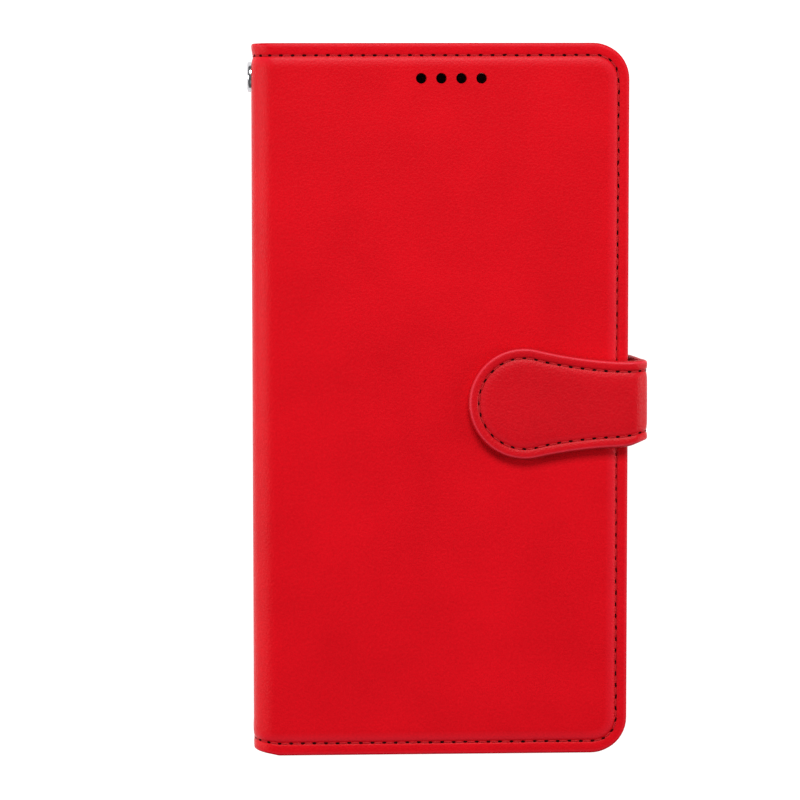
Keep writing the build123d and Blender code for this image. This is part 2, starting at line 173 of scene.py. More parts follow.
def cutWith(piece, cutter):
    # takes the cutter's shape out of the piece for good
    modifier = piece.modifiers.new("cut", "BOOLEAN")
    modifier.operation = "DIFFERENCE"
    modifier.solver = "EXACT"
    modifier.object = cutter
    view = bpy.context.evaluated_depsgraph_get()
    mesh = bpy.data.meshes.new_from_object(piece.evaluated_get(view))
    piece.modifiers.clear()
    piece.data = mesh
    bpy.data.objects.remove(cutter)
    bm = bmesh.new()
    bm.from_mesh(mesh)
    for edge in bm.edges:
        edge.smooth = not (len(edge.link_faces) == 2 and edge.calc_face_angle(0) > math.radians(40))
    bm.to_mesh(mesh)
    bm.free()


# ---------- paths for stitches

def lineRun(x0, y0, x1, y1):
    length = math.hypot(x1 - x0, y1 - y0)
    turn = math.atan2(y1 - y0, x1 - x0)
    return length, lambda d: (x0 + (x1 - x0) * d / length, y0 + (y1 - y0) * d / length, turn)


def arcRun(cx, cy, radius, start, size):
    side = 1 if size > 0 else -1

    def at(d):
        a = start + side * d / radius
        return cx + radius * math.cos(a), cy + radius * math.sin(a), a + side * math.pi / 2
    return abs(size) * radius, at


def stitchStops(runs, pitch):
    total = sum(length for length, _ in runs)
    count = round(total / pitch)
    stops = []
    for number in range(count):
        d = (number + 0.5) * total / count
        for length, at in runs:
            if d <= length:
                stops.append(at(d))
                break
            d -= length
    return stops


def perimeterRuns(halfU, halfV, radius):
    quarter = math.pi / 2
    u, v = halfU - radius, halfV - radius
    return [lineRun(-u, -halfV, u, -halfV), arcRun(u, -v, radius, -quarter, quarter),
            lineRun(halfU, -v, halfU, v), arcRun(u, v, radius, 0, quarter),
            lineRun(u, halfV, -u, halfV), arcRun(-u, v, radius, quarter, quarter),
            lineRun(-halfU, v, -halfU, -v), arcRun(-u, -v, radius, 2 * quarter, quarter)]


def beads(bm, stops, height, size, place, shift=0.0, wobble=0.0, segments=(8, 6)):
    # one small rounded bead per stop: size is (length, width, thickness); place bends it onto the case
    for x, y, turn in stops:
        down = 0 if shift == 0 else abs(math.sin(turn))  # holes are longer and narrower down the sides
        sideways = random.uniform(-1, 1) * wobble * 0.6 * mm
        x += math.cos(turn) * shift - math.sin(turn) * sideways
        y += math.sin(turn) * shift + math.cos(turn) * sideways
        turn += random.uniform(-1, 1) * wobble
        made = bmesh.ops.create_uvsphere(bm, u_segments=segments[0], v_segments=segments[1], radius=0.5)
        stretch = Matrix.Diagonal((size[0] * (1 + 0.5 * down), size[1] * (1 - 0.36 * down), size[2], 1))
        lay = Matrix.Translation((x, y, height)) @ Matrix.Rotation(turn, 4, "Z") @ stretch
        for vert in made["verts"]:
            vert.co = place(lay @ (Matrix.Rotation(math.pi / 2, 4, "Y") @ vert.co))


def stitches(name, stops, pitch, heights, place, thread, hole, holeSize=(0.98, 0.78, 0.2)):
    # thread lengths between dark needle holes, the holes' dark being painted shade of their depth; heights
    # are (thread, hole)
    bm = bmesh.new()
    beads(bm, stops, heights[0], ((pitch - 0.75 * mm), 0.42 * mm, 0.26 * mm), place, wobble=0.02)
    threadPiece = newPiece(name + "Thread", bm, thread, 80)
    bm = bmesh.new()
    size = tuple(v * mm for v in holeSize)
    beads(bm, stops, heights[1], size, place, shift=pitch / 2, wobble=0.2, segments=(8, 4))
    holePiece = newPiece(name + "Holes", bm, hole, 80)
    return threadPiece, holePiece


# ---------- materials

def nodeGroup(name, inputs, outputs):
    group = bpy.data.node_groups.new(name, "ShaderNodeTree")
    for label, kind, value in inputs:
        socket = group.interface.new_socket(label, in_out="INPUT", socket_type=kind)
        socket.default_value = value
    for label, kind in outputs:
        group.interface.new_socket(label, in_out="OUTPUT", socket_type=kind)
    return group, group.nodes.new("NodeGroupInput"), group.nodes.new("NodeGroupOutput")


def addNode(tree, kind, links=None, **values):
    node = tree.nodes.new(kind)
    for key, value in values.items():
        if hasattr(node, key):
            setattr(node, key, value)
        else:
            node.inputs[key.replace("_", " ")].default_value = value
    for socket, source in (links or {}).items():
        tree.links.new(source, node.inputs[socket])
    return node


def grainGroup():
    # pebbled leather: small cells with soft creases between them, over a slow unevenness
    group, inn, out = nodeGroup(
        "leatherGrain",
        [("Vector", "NodeSocketVector", (0, 0, 0)), ("Cell", "NodeSocketFloat", 1700.0),
         ("Depth", "NodeSocketFloat", 0.5)],
        [("Height", "NodeSocketFloat"), ("Mottle", "NodeSocketFloat"), ("Crease", "NodeSocketFloat")])
    warp = addNode(group, "ShaderNodeTexNoise", {"Vector": inn.outputs["Vector"]}, Scale=900.0, Detail=2.0)
    shifted = addNode(group, "ShaderNodeVectorMath",
                      {0: warp.outputs["Color"]}, operation="SCALE")
    shifted.inputs["Scale"].default_value = 0.0004
    moved = addNode(group, "ShaderNodeVectorMath",
                    {0: inn.outputs["Vector"], 1: shifted.outputs[0]}, operation="ADD")
    cells = addNode(group, "ShaderNodeTexVoronoi",
                    {"Vector": moved.outputs[0], "Scale": inn.outputs["Cell"]}, feature="SMOOTH_F1")
    cells.inputs["Smoothness"].default_value = 0.6
    fine = addNode(group, "ShaderNodeTexNoise", {"Vector": inn.outputs["Vector"]}, Scale=4200.0, Detail=3.0)
    slow = addNode(group, "ShaderNodeTexNoise", {"Vector": inn.outputs["Vector"]}, Scale=55.0, Detail=4.0)
    crease = addNode(group, "ShaderNodeMapRange", {"Value": cells.outputs["Distance"]})
    crease.inputs["From Min"].default_value = 0.25
    crease.inputs["From Max"].default_value = 0.75
    rounded = addNode(group, "ShaderNodeMath", {1: crease.outputs[0]}, operation="SUBTRACT")
    rounded.inputs[0].default_value = 1.0
    deep = addNode(group, "ShaderNodeMath", {0: rounded.outputs[0], 1: inn.outputs["Depth"]},
                   operation="MULTIPLY")
    both = addNode(group, "ShaderNodeMath", {0: fine.outputs["Fac"], 2: deep.outputs[0]},
                   operation="MULTIPLY_ADD")
    both.inputs[1].default_value = 0.35
    patch = addNode(group, "ShaderNodeTexNoise", {"Vector": inn.outputs["Vector"]}, Scale=1500.0, Detail=3.0)
    mottle = addNode(group, "ShaderNodeMath", {0: slow.outputs["Fac"], 1: patch.outputs["Fac"]},
                     operation="ADD")
    half = addNode(group, "ShaderNodeMath", {0: mottle.outputs[0]}, operation="MULTIPLY")
    half.inputs[1].default_value = 0.5
    group.links.new(both.outputs[0], out.inputs["Height"])
    group.links.new(half.outputs[0], out.inputs["Mottle"])
    group.links.new(crease.outputs[0], out.inputs["Crease"])
    return group


leatherGrain = grainGroup()


def material(name):
    made = bpy.data.materials.new(name)
    made.use_nodes = True
    tree = made.node_tree
    shader = tree.nodes["Principled BSDF"]
    spot = tree.nodes.new("ShaderNodeTexCoord")
    return made, tree, shader, spot.outputs["Object"]


def ramp(tree, source, low, high, start=0.0, end=1.0):
    node = addNode(tree, "ShaderNodeValToRGB", {"Fac": source})
    node.color_ramp.elements[0].position = start
    node.color_ramp.elements[0].color = (*low, 1)
    node.color_ramp.elements[1].position = end
    node.color_ramp.elements[1].color = (*high, 1)
    return node.outputs["Color"]


def leather(name, settings):
    made, tree, shader, spot = material(name)
    grain = addNode(tree, "ShaderNodeGroup", None, node_tree=leatherGrain)
    tree.links.new(spot, grain.inputs["Vector"])
    grain.inputs["Cell"].default_value = settings["cell"]
    grain.inputs["Depth"].default_value = settings["depth"]
    body = ramp(tree, grain.outputs["Mottle"], settings["dark"], settings["light"], 0.36, 0.64)
    # painted light: the ring attribute blends a lighter painted-highlight colour in where it is above 0 and a
    # dark painted-shade colour where it is below 0
    paintedLight = addNode(tree, "ShaderNodeAttribute", attribute_name="paintedLight")
    for sign, share, tone in ((1, settings["highlightShare"], settings["paintedHighlight"]), (-1, 0.75, settings["shaded"])):
        amount = addNode(tree, "ShaderNodeMath", {0: paintedLight.outputs["Fac"]}, operation="MULTIPLY",
                         use_clamp=True)
        amount.inputs[1].default_value = sign * share
        mixed = addNode(tree, "ShaderNodeMix", data_type="RGBA")
        tree.links.new(amount.outputs[0], mixed.inputs[0])
        tree.links.new(body, mixed.inputs[6])
        mixed.inputs[7].default_value = (*tone, 1)
        body = mixed.outputs[2]
    tree.links.new(body, shader.inputs["Base Color"])
    rough = addNode(tree, "ShaderNodeMapRange", {"Value": grain.outputs["Crease"]})
    rough.inputs["To Min"].default_value = settings["rough"]
    rough.inputs["To Max"].default_value = settings["rough"] + 0.12
    tree.links.new(rough.outputs[0], shader.inputs["Roughness"])
    bump = addNode(tree, "ShaderNodeBump", {"Height": grain.outputs["Height"]})
    bump.inputs["Strength"].default_value = settings["bump"]
    bump.inputs["Distance"].default_value = 0.00006
    tree.links.new(bump.outputs[0], shader.inputs["Normal"])
    shader.inputs["Specular IOR Level"].default_value = settings["specular"]
    shader.inputs["Sheen Weight"].default_value = settings["sheen"]
    shader.inputs["Sheen Roughness"].default_value = 0.35
    shader.inputs["Sheen Tint"].default_value = (1.0, 0.55, 0.58, 1)
    return made


# each leather's lighter edge colour and its share are a painted highlight; its shaded colour is painted shade
outerRed = {"dark": (0.62, 0.0022, 0.0080), "light": (0.72, 0.0030, 0.0100), "rough": 0.34, "cell": 2100.0,
            "depth": 0.6, "bump": 0.75, "specular": 0.10, "sheen": 0.015, "highlightShare": 0.35,
            "paintedHighlight": (0.92, 0.05, 0.09), "shaded": (0.20, 0.001, 0.003)}
strapRed = {"dark": (0.56, 0.0024, 0.0085), "light": (0.65, 0.0032, 0.0105), "rough": 0.36, "cell": 1900.0,
            "depth": 0.7, "bump": 0.85, "specular": 0.14, "sheen": 0.03, "highlightShare": 0.55,
            "paintedHighlight": (0.85, 0.06, 0.10), "shaded": (0.18, 0.001, 0.003)}
innerRed = {"dark": (0.46, 0.0065, 0.011), "light": (0.54, 0.0085, 0.014), "rough": 0.56, "cell": 2300.0,
            "depth": 0.35, "bump": 0.3, "specular": 0.25, "sheen": 0.1, "highlightShare": 0.2,
            "paintedHighlight": (0.75, 0.05, 0.08), "shaded": (0.16, 0.001, 0.003)}
outerLeather = leather("outerLeather", outerRed)
strapLeather = leather("strapLeather", strapRed)
innerLeather = leather("innerLeather", innerRed)


def threadMaterial():
    made, tree, shader, spot = material("redThread")
    ply = addNode(tree, "ShaderNodeTexNoise", {"Vector": spot}, Scale=6000.0, Detail=2.0)
    tree.links.new(ramp(tree, ply.outputs["Fac"], (0.36, 0.005, 0.010), (0.60, 0.012, 0.018), 0.35, 0.65),
                   shader.inputs["Base Color"])
    bump = addNode(tree, "ShaderNodeBump", {"Height": ply.outputs["Fac"]}, Strength=0.5, Distance=0.00008)
    tree.links.new(bump.outputs[0], shader.inputs["Normal"])
    shader.inputs["Roughness"].default_value = 0.7
    shader.inputs["Specular IOR Level"].default_value = 0.15
    return made


def holeShadeMaterial():
    # needle holes are painted shade: near-black beads stand on the leather for the shadow down each hole
    made, tree, shader, spot = material("needleHoleShade")
    soft = addNode(tree, "ShaderNodeTexNoise", {"Vector": spot}, Scale=1500.0, Detail=1.0)
    tree.links.new(ramp(tree, soft.outputs["Fac"], (0.012, 0.0005, 0.0008), (0.05, 0.001, 0.0015), 0.4, 0.7),
                   shader.inputs["Base Color"])
    shader.inputs["Roughness"].default_value = 0.95
    shader.inputs["Specular IOR Level"].default_value = 0.05
    return made


def shellMaterial():
    made, tree, shader, spot = material("shellBlack")
    shader.inputs["Specular IOR Level"].default_value = 0.3
    fine = addNode(tree, "ShaderNodeTexNoise", {"Vector": spot}, Scale=3500.0, Detail=3.0)
    slow = addNode(tree, "ShaderNodeTexNoise", {"Vector": spot}, Scale=90.0, Detail=3.0)
    tree.links.new(ramp(tree, slow.outputs["Fac"], (0.010, 0.010, 0.011), (0.020, 0.020, 0.022), 0.3, 0.7),
                   shader.inputs["Base Color"])
    rough = addNode(tree, "ShaderNodeMapRange", {"Value": slow.outputs["Fac"]})
    rough.inputs["To Min"].default_value = 0.42
    rough.inputs["To Max"].default_value = 0.58
    tree.links.new(rough.outputs[0], shader.inputs["Roughness"])
    bump = addNode(tree, "ShaderNodeBump", {"Height": fine.outputs["Fac"]}, Strength=0.25, Distance=0.00004)
    tree.links.new(bump.outputs[0], shader.inputs["Normal"])
    return made


def metalMaterial(name, colour, rough, scratch):
    made, tree, shader, spot = material(name)
    stretch = addNode(tree, "ShaderNodeMapping", {"Vector": spot})
    stretch.inputs["Scale"].default_value = (1.0, 1.0, 12.0)
    marks = addNode(tree, "ShaderNodeTexNoise", {"Vector": stretch.outputs[0]}, Scale=scratch, Detail=4.0)
    tree.links.new(ramp(tree, marks.outputs["Fac"], tuple(c * 0.86 for c in colour), colour, 0.3, 0.7),
                   shader.inputs["Base Color"])
    spread = addNode(tree, "ShaderNodeMapRange", {"Value": marks.outputs["Fac"]})
    spread.inputs["To Min"].default_value = rough
    spread.inputs["To Max"].default_value = rough * 2.2
    tree.links.new(spread.outputs[0], shader.inputs["Roughness"])
    shader.inputs["Metallic"].default_value = 1.0
    return made


def boardMaterial(name, low, high, scale):
    made, tree, shader, spot = material(name)
    fibre = addNode(tree, "ShaderNodeTexNoise", {"Vector": spot}, Scale=scale, Detail=5.0)
    tree.links.new(ramp(tree, fibre.outputs["Fac"], low, high, 0.3, 0.7), shader.inputs["Base Color"])
    bump = addNode(tree, "ShaderNodeBump", {"Height": fibre.outputs["Fac"]}, Strength=0.3, Distance=0.0001)
    tree.links.new(bump.outputs[0], shader.inputs["Normal"])
    shader.inputs["Roughness"].default_value = 0.85
    return made


redThread = threadMaterial()
needleHoleShade = holeShadeMaterial()
shellBlack = shellMaterial()
brightNickel = metalMaterial("brightNickel", (0.60, 0.60, 0.62), 0.12, 700.0)
plainSteel = metalMaterial("plainSteel", (0.52, 0.52, 0.54), 0.28, 400.0)
pressedBoard = boardMaterial("pressedBoard", (0.36, 0.31, 0.24), (0.47, 0.42, 0.34), 600.0)
clearFilm = boardMaterial("clearFilm", (0.62, 0.62, 0.60), (0.74, 0.74, 0.72), 200.0)
print("materials made")

# ---------- covers and spine

coverMake = {
    "corner": 8.6, "flare": 0.5, "flareRun": (4.0, 13.0), "drawn": 1.3, "endSeam": 0.3, "askew": 0.6,
    "waist": 0.4, "waistMiddle": -10.0, "waistRun": 70.0, "bendDepth": 2.3, "drawnHalf": 12.5,
    "drawnRun": 9.0, "askewAcross": 30.0, "askewFrom": 5.0, "askewRun": 55.0,
    # rings of the outer skin, as (in from the edge, height, painted light): rim, sewn groove, soft shoulder,
    # flat panel; painted shade darkens the outer edge and the groove, painted highlight lightens the rim's
    # crest and the shoulder below the seam
    "outside": [(0.05, -0.72, -0.6), (0.20, -0.52, -0.2), (0.48, -0.42, 0.5), (0.9, -0.39), (2.0, -0.40),
                (2.28, -0.47), (2.48, -0.58, -0.5), (2.80, -0.58, -0.5), (3.0, -0.44), (3.4, -0.26, 0.5),
                (4.1, -0.09, 0.3), (5.4, -0.01), (6.2, 0.0), (7.2, 0.0)],
    "inside": [(0.08, -1.45), (0.30, -1.70), (1.2, -1.70)],
    "middle": -1.0,
}
liningMake = {
    "outside": [(0.2, -1.70), (1.2, -1.70)],
    "inside": [(0.06, -2.14), (0.25, -2.24), (1.0, -2.26), (1.9, -2.25), (2.1, -2.12), (2.45, -2.12),
               (2.65, -2.28), (3.4, -2.36), (4.6, -2.40), (5.6, -2.40)],
    "middle": -1.95, "inset": 0.3,
}
seamMake = {"inset": 2.64, "pitch": 2.78}


def coverOutline(inset):
    def outline(bm, z):
        radius = coverMake["corner"] * mm - inset
        return roundedFace(bm, (-reach + inset, -endY + inset), (reach - inset, endY - inset), z,
                           [radius] * 4, 12)
    return outline


def ease(t):
    t = min(1.0, max(0.0, t))
    return t * t * (3 - 2 * t)


def coverPlace(co):
    # where a point of the flat leather lies once it is sewn, bent and worn in a little
    u, v, h = co
    side = 1 if v > 0 else -1
    ending = endY - abs(v)
    # the seam is a little further in along the ends than along the opening edge
    ends = ease(ending / (2 * mm)) * (1 - ease((ending - 4 * mm) / (5 * mm)))
    v -= side * coverMake["endSeam"] * mm * ends * ease((reach - abs(u) - 2 * mm) / (7 * mm))
    # the spine's two ends stand out, and its lower end is drawn in at the corners
    near = 1 - ease((abs(u) - flatHalf - 0.5 * arcLength) / (0.5 * arcLength))
    run = coverMake["flareRun"][0 if side > 0 else 1] * mm
    waistMiddle, waistRun = coverMake["waistMiddle"] * mm, coverMake["waistRun"] * mm
    h += coverMake["flare"] * mm * max(0.0, 1 - ending / run) ** 2 * near
    h -= coverMake["waist"] * mm * max(0.0, 1 - ((v - waistMiddle) / waistRun) ** 2) * near
    if side < 0:
        drawn = max(0.0, 1 - (abs(u) / (coverMake["drawnHalf"] * mm)) ** 2)
        v += coverMake["drawn"] * mm * drawn * max(0.0, 1 - ending / (coverMake["drawnRun"] * mm))
    spot = coverPoint(u, v, h)
    if u > 0:  # the front cover's free corner lies slightly open
        across = ease(spot.x / (coverMake["askewAcross"] * mm))
        along = ease((v - coverMake["askewFrom"] * mm) / (coverMake["askewRun"] * mm))
        spot.x += coverMake["askew"] * mm * across * along
    return spot


def bentSheet(name, make, inset, surface, front):
    bm = slab(coverOutline(inset), make["middle"], make["outside"], make["inside"])
    stops = [flatHalf + arcLength * k / 16 for k in range(17)]
    stops += [stops[-1] + run * mm for run in (1.5, 4.0, 9.0, 20.0, 40.0, 60.0)]
    cutAcross(bm, stops if front else [-s for s in stops])
    keepSide(bm, 0.0, front)
    moveVerts(bm, coverPlace)
    return newPiece(name, bm, surface)


def blendCover(piece, front):
    # bakes the piece's placement into its mesh, the same for either cover
    if front:
        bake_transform(piece)
    else:
        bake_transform(piece)


windowMake = {"width": 27.0, "length": 38.0, "corner": 6.0, "around": 1.5,
              "fromSide": 20.7, "fromTop": 26.5, "button": 0.7, "wall": 1.5, "halfPhone": 38.0}
holeMake = {"radius": 1.28, "pitch": 4.78, "count": 4, "fromTop": 8.4}
windowX = shellHigh.x - windowMake["fromSide"] * mm
windowY = shellHigh.y - windowMake["fromTop"] * mm
phoneX = shellHigh.x - (windowMake["button"] + windowMake["wall"] + windowMake["halfPhone"]) * mm


def windowCutter(z0, z1):
    grow = windowMake["around"] * mm
    half = ((windowMake["width"] / 2) * mm + grow, (windowMake["length"] / 2) * mm + grow)
    bm = bmesh.new()
    face = roundedFace(bm, (windowX - half[0], windowY - half[1]), (windowX + half[0], windowY + half[1]), z0,
                       [windowMake["corner"] * mm + grow] * 4, 10)
    raised = bmesh.ops.extrude_face_region(bm, geom=[face])
    bmesh.ops.translate(bm, verts=[v for v in raised["geom"] if isinstance(v, bmesh.types.BMVert)],
                        vec=(0, 0, z1 - z0))
    return newPiece("cutter", bm, pressedBoard)


def holeCutter(z0, z1):
    bm = bmesh.new()
    for k in range(holeMake["count"]):
        x = phoneX + (k - (holeMake["count"] - 1) / 2) * holeMake["pitch"] * mm
        bmesh.ops.create_cone(bm, cap_ends=True, segments=36, radius1=holeMake["radius"] * mm,
                              radius2=holeMake["radius"] * mm, depth=z1 - z0,
                              matrix=Matrix.Translation((x, endY - holeMake["fromTop"] * mm, (z0 + z1) / 2)))
    return newPiece("cutter", bm, pressedBoard)


frontLeather = bentSheet("frontLeather", coverMake, 0.0, outerLeather, True)
cutWith(frontLeather, holeCutter(topZ - 3 * mm, topZ + 1 * mm))
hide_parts("front_skin", "front_crease_skin")
backLeather = bentSheet("backLeather", coverMake, 0.0, outerLeather, False)
cutWith(backLeather, windowCutter(-1 * mm, 3 * mm))
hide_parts("back_skin", "back_crease_skin", "spine_skin")
frontLining = bentSheet("frontLining", liningMake, liningMake["inset"] * mm, innerLeather, True)
cutWith(frontLining, holeCutter(liningLow.z - 1 * mm, liningHigh.z + 1 * mm))
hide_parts("front_lining", "front_crease_lining")
backLining = bentSheet("backLining", liningMake, liningMake["inset"] * mm, innerLeather, False)
cutWith(backLining, windowCutter(0.5 * mm, 4 * mm))
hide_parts("back_lining", "back_crease_lining", "spine_lining")
for piece, front, finish in ((frontLeather, True, "outer_leather"), (backLeather, False, "outer_leather"),
                             (frontLining, True, "inner_leather"), (backLining, False, "inner_leather")):
    blendCover(piece, front)
print("covers and spine made")


def coverSeams():
    inset = seamMake["inset"] * mm
    radius = (coverMake["corner"] - seamMake["inset"]) * mm
    stops = stitchStops(perimeterRuns(reach - inset, endY - inset, radius), seamMake["pitch"] * mm)

    for front, side in ((True, "front"), (False, "back")):
        mine = [s for s in stops if (s[0] >= 0) == front]
        for layer, heights in (("Outer", (-0.53 * mm, -0.55 * mm)), ("Inner", (-2.17 * mm, -2.17 * mm))):
            made = stitches(side + layer, mine, seamMake["pitch"] * mm, heights, coverPlace, redThread,
                            needleHoleShade)
            for piece in made:
                blendCover(piece, front)
            if layer == "Outer":
                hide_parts(side + "_seam_thread")
            if layer == "Outer" and not front:
                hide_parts("spine_seam_thread")


coverSeams()
print("cover seams sewn")

# ---------- strap

strapMake = {
    "neck": 20.6, "tab": 13.4, "sweep": 27.0, "lift": 0.35, "foldRadius": 4.0, "rootRadius": 2.6,
    "rootRun": 0.4, "tuck": 1.0, "seam": 2.6, "pitch": 2.85, "tipOut": 0.8,
    "swing": 0.45, "rootSwing": 0.9, "narrow": 0.12, "inner": -1.5, "rootInner": -1.2,
    "edge": 0.85, "pad": 1.6, "padRun": 3.5, "lean": 0.3, "foldLead": 3.0, "foldRun": 8.0,
    "thinned": 0.42, "pressed": 0.05,
    # rings of the outer skin, as (in from the edge, height, painted light): painted shade at the outer edge
    # and in the sewn groove, painted highlight along the rim's crest
    "outside": [(0.10, -0.55, -0.5), (0.30, -0.24, 0.2), (0.55, -0.07, 1.0), (0.85, -0.01, 0.1), (1.25, 0.0),
                (1.9, -0.07), (2.3, -0.22, -0.2), (2.45, -0.36, -0.5), (2.75, -0.36, -0.5), (2.95, -0.24),
                (3.5, -0.12, 0.1), (4.4, -0.03), (5.6, 0.0), (6.4, 0.0)],
    "inside": [(0.10, -1.20), (0.35, -1.44), (0.8, -1.50), (2.3, -1.50), (2.6, -1.40), (2.9, -1.40),
               (3.2, -1.50), (4.0, -1.52)],
    "middle": -0.85,
}
tabLow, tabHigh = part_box("strap_tab_skin")
foldLow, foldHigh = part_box("strap_fold_skin")
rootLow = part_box("strap_root_skin")[0]
tipX = tabLow.x - strapMake["tipOut"] * mm
strapY = (foldLow.y + foldHigh.y) / 2
strapTop = tabHigh.z
foldX = foldLow.x
foldR = strapMake["foldRadius"] * mm
foldZ = strapTop - foldR
rootR = strapMake["rootRadius"] * mm
rootX = edgeX + strapMake["rootRun"] * mm
rootZ = rootLow.z + rootR
rise = math.hypot(foldX - rootX, foldZ - rootZ)
lean = math.acos((rootR - foldR) / rise) - math.atan2(foldZ - rootZ, foldX - rootX)
sideLength = math.sqrt(rise ** 2 - (rootR - foldR) ** 2)
foldTurn = math.pi / 2 + lean
rootTurn = math.pi / 2 - lean
sFold = foldX - tipX
sSide = sFold + foldR * foldTurn
sRoot = sSide + sideLength
sEdge = sRoot + rootR * rootTurn
sEnd = sEdge + (strapMake["rootRun"] + strapMake["tuck"]) * mm


def strapPoint(s, v, h):
    # s runs from the tab's tip along the outer face, over the fold, down the side and in at the root
    if s > sSide:
        squeeze = min(1.0, (s - sSide) / (sEdge - sSide))
        h *= 1 - strapMake["thinned"] * squeeze ** 3  # thinner where it is sewn in
    # the tab is padded below its edges, over the board and the magnet
    below = strapMake["edge"] * mm + h
    if below < 0 and s < sFold:
        pad = 1 - ease((s - sFold + strapMake["padRun"] * mm) / (strapMake["padRun"] * mm))
        h += strapMake["pad"] * pad * below
    # the worn strap lies a little askew, and narrows where it folds
    rooted = strapMake["rootSwing"] * ease((s - sSide) / sideLength)
    v += strapMake["swing"] * mm * (max(0.0, 1 - s / sFold) + rooted)
    folding = ease((s - sFold + strapMake["foldLead"] * mm) / (strapMake["foldRun"] * mm))
    if v < strapY:
        v = strapY + (v - strapY) * (1 - strapMake["narrow"] * folding)
    v += strapMake["lean"] * mm * folding
    if s <= sFold:
        away = 1 - s / sFold
        settled = (strapMake["pressed"] + strapMake["lift"] * away ** 1.5) * mm
        return Vector((tipX + s, v, strapTop - settled + h))
    if s <= sSide:
        a = (s - sFold) / foldR
        sag = strapMake["pressed"] * mm * (1 - a / foldTurn)
        return Vector((foldX + (foldR + h) * math.sin(a), v, foldZ + (foldR + h) * math.cos(a) - sag))
    if s <= sRoot:
        d = s - sSide
        x = foldX + (foldR + h) * math.sin(foldTurn) + math.cos(foldTurn) * d
        return Vector((x, v, foldZ + (foldR + h) * math.cos(foldTurn) - math.sin(foldTurn) * d))
    a = foldTurn + min(s - sRoot, rootR * rootTurn) / rootR
    x = rootX + (rootR + h) * math.sin(a) - max(0.0, s - sEdge)
    return Vector((x, v, rootZ + (rootR + h) * math.cos(a)))


tabS = strapMake["tab"] * mm  # the tab's middle, along s
sweepS = strapMake["sweep"] * mm
halfNeck = strapMake["neck"] / 2 * mm


def flareRadius():
    return (sweepS ** 2 + halfNeck ** 2 - tabS ** 2) / (2 * (tabS - halfNeck))


flareR = flareRadius()
meets = math.atan2(halfNeck + flareR, sweepS)


def strapOutline(bm, z):
    # the round tip is spun, the sweep into the neck is spun the other way, and the other half is mirrored
    start = bm.verts.new((0, strapY, z))
    rounded = bmesh.ops.spin(bm, geom=[start], cent=(tabS, strapY, z), axis=(0, 0, -1),
                            angle=math.pi - meets, steps=22)
    last = [g for g in rounded["geom_last"] if isinstance(g, bmesh.types.BMVert)][0]
    sweep = bmesh.ops.spin(bm, geom=[last], cent=(tabS + sweepS, strapY + halfNeck + flareR, z),
                           axis=(0, 0, 1), angle=math.pi / 2 - meets, steps=10)
    last = [g for g in sweep["geom_last"] if isinstance(g, bmesh.types.BMVert)][0]
    end = bmesh.ops.extrude_vert_indiv(bm, verts=[last])["verts"][0]
    end.co = Vector((sEnd, strapY + halfNeck, z))
    wires = [e for e in bm.edges if e.is_wire]
    verts = list({v for e in wires for v in e.verts})
    bmesh.ops.mirror(bm, geom=verts + wires, matrix=Matrix.Translation((0, -strapY, 0)), axis="Y",
                     merge_dist=1e-7)
    bmesh.ops.remove_doubles(bm, verts=[v for v in bm.verts if v.link_edges and not v.link_faces], dist=1e-7)
    ends = [v for v in bm.verts if abs(v.co.x - sEnd) < 1e-7 and abs(v.co.z - z) < 1e-7 and not v.link_faces]
    bm.edges.new(ends)
    wires = [e for e in bm.edges if e.is_wire]
    made = bmesh.ops.contextual_create(bm, geom=wires)
    made["faces"][0].normal_update()
    return made["faces"][0]


def strapPart(name, front):
    bm = slab(strapOutline, strapMake["middle"], strapMake["outside"], strapMake["inside"])
    stops = [sFold * k / 8 for k in range(1, 8)] + [sFold - 1.5 * mm]
    stops += [sFold + (sSide - sFold) * k / 14 for k in range(15)]
    stops += [sSide + sideLength * k / 6 for k in range(1, 6)]
    stops += [sRoot + (sEdge - sRoot) * k / 10 for k in range(11)]
    cutAcross(bm, stops)
    keepSide(bm, sSide + sideLength / 2, not front)
    moveVerts(bm, lambda co: strapPoint(co.x, co.y, co.z))
    return newPiece(name, bm, strapLeather)


def blendStrap(piece, front):
    if front:
        strapPoint(sSide, 0, strapMake["inner"] * mm)
        strapPoint(sFold, 0, strapMake["inner"] * mm)
        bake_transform(piece)
    else:
        strapPoint(sEdge, 0, strapMake["rootInner"] * mm)
        strapPoint(sRoot, 0, strapMake["rootInner"] * mm)
        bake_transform(piece)


strapFront = strapPart("strapFront", True)
strapSide = strapPart("strapSide", False)
blendStrap(strapFront, True)
blendStrap(strapSide, False)
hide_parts("strap_tab_skin", "strap_tab_lining", "strap_fold_skin", "strap_fold_lining")
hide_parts("strap_side_skin", "strap_side_lining", "strap_root_skin", "strap_root_lining")


